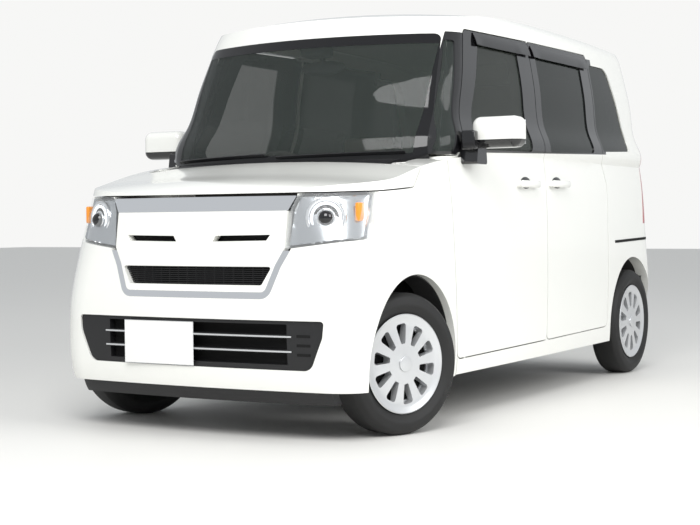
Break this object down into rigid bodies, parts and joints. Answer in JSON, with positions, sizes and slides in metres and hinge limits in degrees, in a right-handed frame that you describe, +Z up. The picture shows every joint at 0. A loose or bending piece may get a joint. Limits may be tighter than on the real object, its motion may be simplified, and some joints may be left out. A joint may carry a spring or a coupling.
{
  "type": "kei car",
  "caption": "Tall boxy small city car with hinged front doors, fixed sliding rear doors, an opening bonnet and tailgate, and wheels that roll and steer.",
  "frame": {"origin": "on the ground under the middle of the car's overall size", "axes": "+Z up, -Y forward, +X to the car's left"},
  "size_m": [1.924, 3.3951, 1.7927],
  "materials": {
    "body_paint": "gloss",
    "black_plastic": "matt",
    "white_plastic": "gloss",
    "window_glass": "clear",
    "clear_lens": "clear",
    "red_lens": "gloss",
    "chrome_plate": "polished",
    "plate_metal": "painted white",
    "dark_steel": "painted",
    "floor_paint": "satin",
    "cast_block": "rough",
    "cabin_plastic": "grained",
    "seat_fabric": "woven",
    "tyre_rubber": "matt",
    "wheel_silver": "silver paint"
  },
  "bodies": {
    "body": {"cowl": "black_plastic", "fender_left": "body_paint", "fender_right": "body_paint", "body_side_left": "body_paint", "body_side_right": "body_paint", "sliding_door_left": "body_paint", "sliding_door_right": "body_paint", "side_glass_left": "window_glass", "side_glass_right": "window_glass", "headlamp_left": "clear_lens", "headlamp_right": "clear_lens", "tail_lamp_left": "red_lens", "tail_lamp_right": "red_lens", "roof_panel": "body_paint", "windscreen": "window_glass", "front_bumper": "body_paint", "rear_bumper": "body_paint", "grille_panel": "white_plastic", "chrome_trim": "chrome_plate", "lower_grille": "black_plastic", "front_plate": "plate_metal", "front_lip": "black_plastic", "arch_liners": "black_plastic", "subframe": "dark_steel", "rear_axle": "dark_steel", "floor_pan": "floor_paint", "engine": "cast_block", "radiator": "black_plastic", "dashboard": "cabin_plastic", "front_seats": "seat_fabric", "rear_seats": "seat_fabric"},
    "front_door_left": {"front_door_left": "body_paint", "front_door_glass_left": "window_glass", "mirror_left": "body_paint"},
    "front_door_right": {"front_door_right": "body_paint", "front_door_glass_right": "window_glass", "mirror_right": "body_paint"},
    "bonnet": {"bonnet": "body_paint"},
    "tailgate": {"tailgate": "body_paint", "tailgate_glass": "window_glass", "rear_plate": "plate_metal"},
    "steering_wheel": {"steering_wheel": "cabin_plastic"},
    "knuckle_left": {"knuckle_left": "dark_steel"},
    "knuckle_right": {"knuckle_right": "dark_steel"},
    "wheel_front_left": {"tyre_front_left": "tyre_rubber", "wheel_front_left": "wheel_silver"},
    "wheel_front_right": {"tyre_front_right": "tyre_rubber", "wheel_front_right": "wheel_silver"},
    "wheel_rear_left": {"tyre_rear_left": "tyre_rubber", "wheel_rear_left": "wheel_silver"},
    "wheel_rear_right": {"tyre_rear_right": "tyre_rubber", "wheel_rear_right": "wheel_silver"}
  },
  "joints": [
    {"name": "steer_left", "type": "hinge", "parent": "body", "child": "knuckle_left", "pos_m": [0.565, -1.2175, 0.16], "axis": [-0.0804, 0.0289, 0.9963], "range_deg": [-15, 55]},
    {"name": "spin_front_left", "type": "hinge", "parent": "knuckle_left", "child": "wheel_front_left", "pos_m": [0.64555, -1.25032, 0.27639], "axis": [0.9401, -0.3409, 0.0051], "continuous": true},
    {"name": "spin_rear_left", "type": "hinge", "parent": "body", "child": "wheel_rear_left", "pos_m": [0.6525, 1.3025, 0.276], "axis": [1, 0, 0], "continuous": true},
    {"name": "open_front_door_left", "type": "hinge", "parent": "body", "child": "front_door_left", "pos_m": [0.718, -0.775, 0.7], "axis": [0, 0, -1], "range_deg": [0, 60]},
    {"name": "steer_right", "type": "hinge", "parent": "body", "child": "knuckle_right", "pos_m": [-0.565, -1.2175, 0.16], "axis": [0.0804, 0.0289, 0.9963], "range_deg": [-15, 55]},
    {"name": "spin_front_right", "type": "hinge", "parent": "knuckle_right", "child": "wheel_front_right", "pos_m": [-0.64785, -1.1843, 0.27466], "axis": [0.9401, -0.3406, 0.0147], "continuous": true},
    {"name": "spin_rear_right", "type": "hinge", "parent": "body", "child": "wheel_rear_right", "pos_m": [-0.6525, 1.3025, 0.276], "axis": [1, 0, 0], "continuous": true},
    {"name": "open_front_door_right", "type": "hinge", "parent": "body", "child": "front_door_right", "pos_m": [-0.718, -0.775, 0.7], "axis": [0, 0, 1], "range_deg": [0, 60]},
    {"name": "open_bonnet", "type": "hinge", "parent": "body", "child": "bonnet", "pos_m": [0, -1.08, 1.056], "axis": [-1, 0, 0], "range_deg": [0, 45]},
    {"name": "open_tailgate", "type": "hinge", "parent": "body", "child": "tailgate", "pos_m": [0, 1.49, 1.764], "axis": [1, 0, 0], "range_deg": [0, 80]},
    {"name": "turn_steering_wheel", "type": "hinge", "parent": "body", "child": "steering_wheel", "pos_m": [-0.33, -0.47, 0.985], "axis": [0, 0.8829, 0.4695], "range_deg": [-240, 880]}
  ],
  "couplings": [
    {"joint": "steer_right", "follows": "steer_left", "ratio": 1},
    {"joint": "turn_steering_wheel", "follows": "steer_left", "ratio": 16}
  ]
}
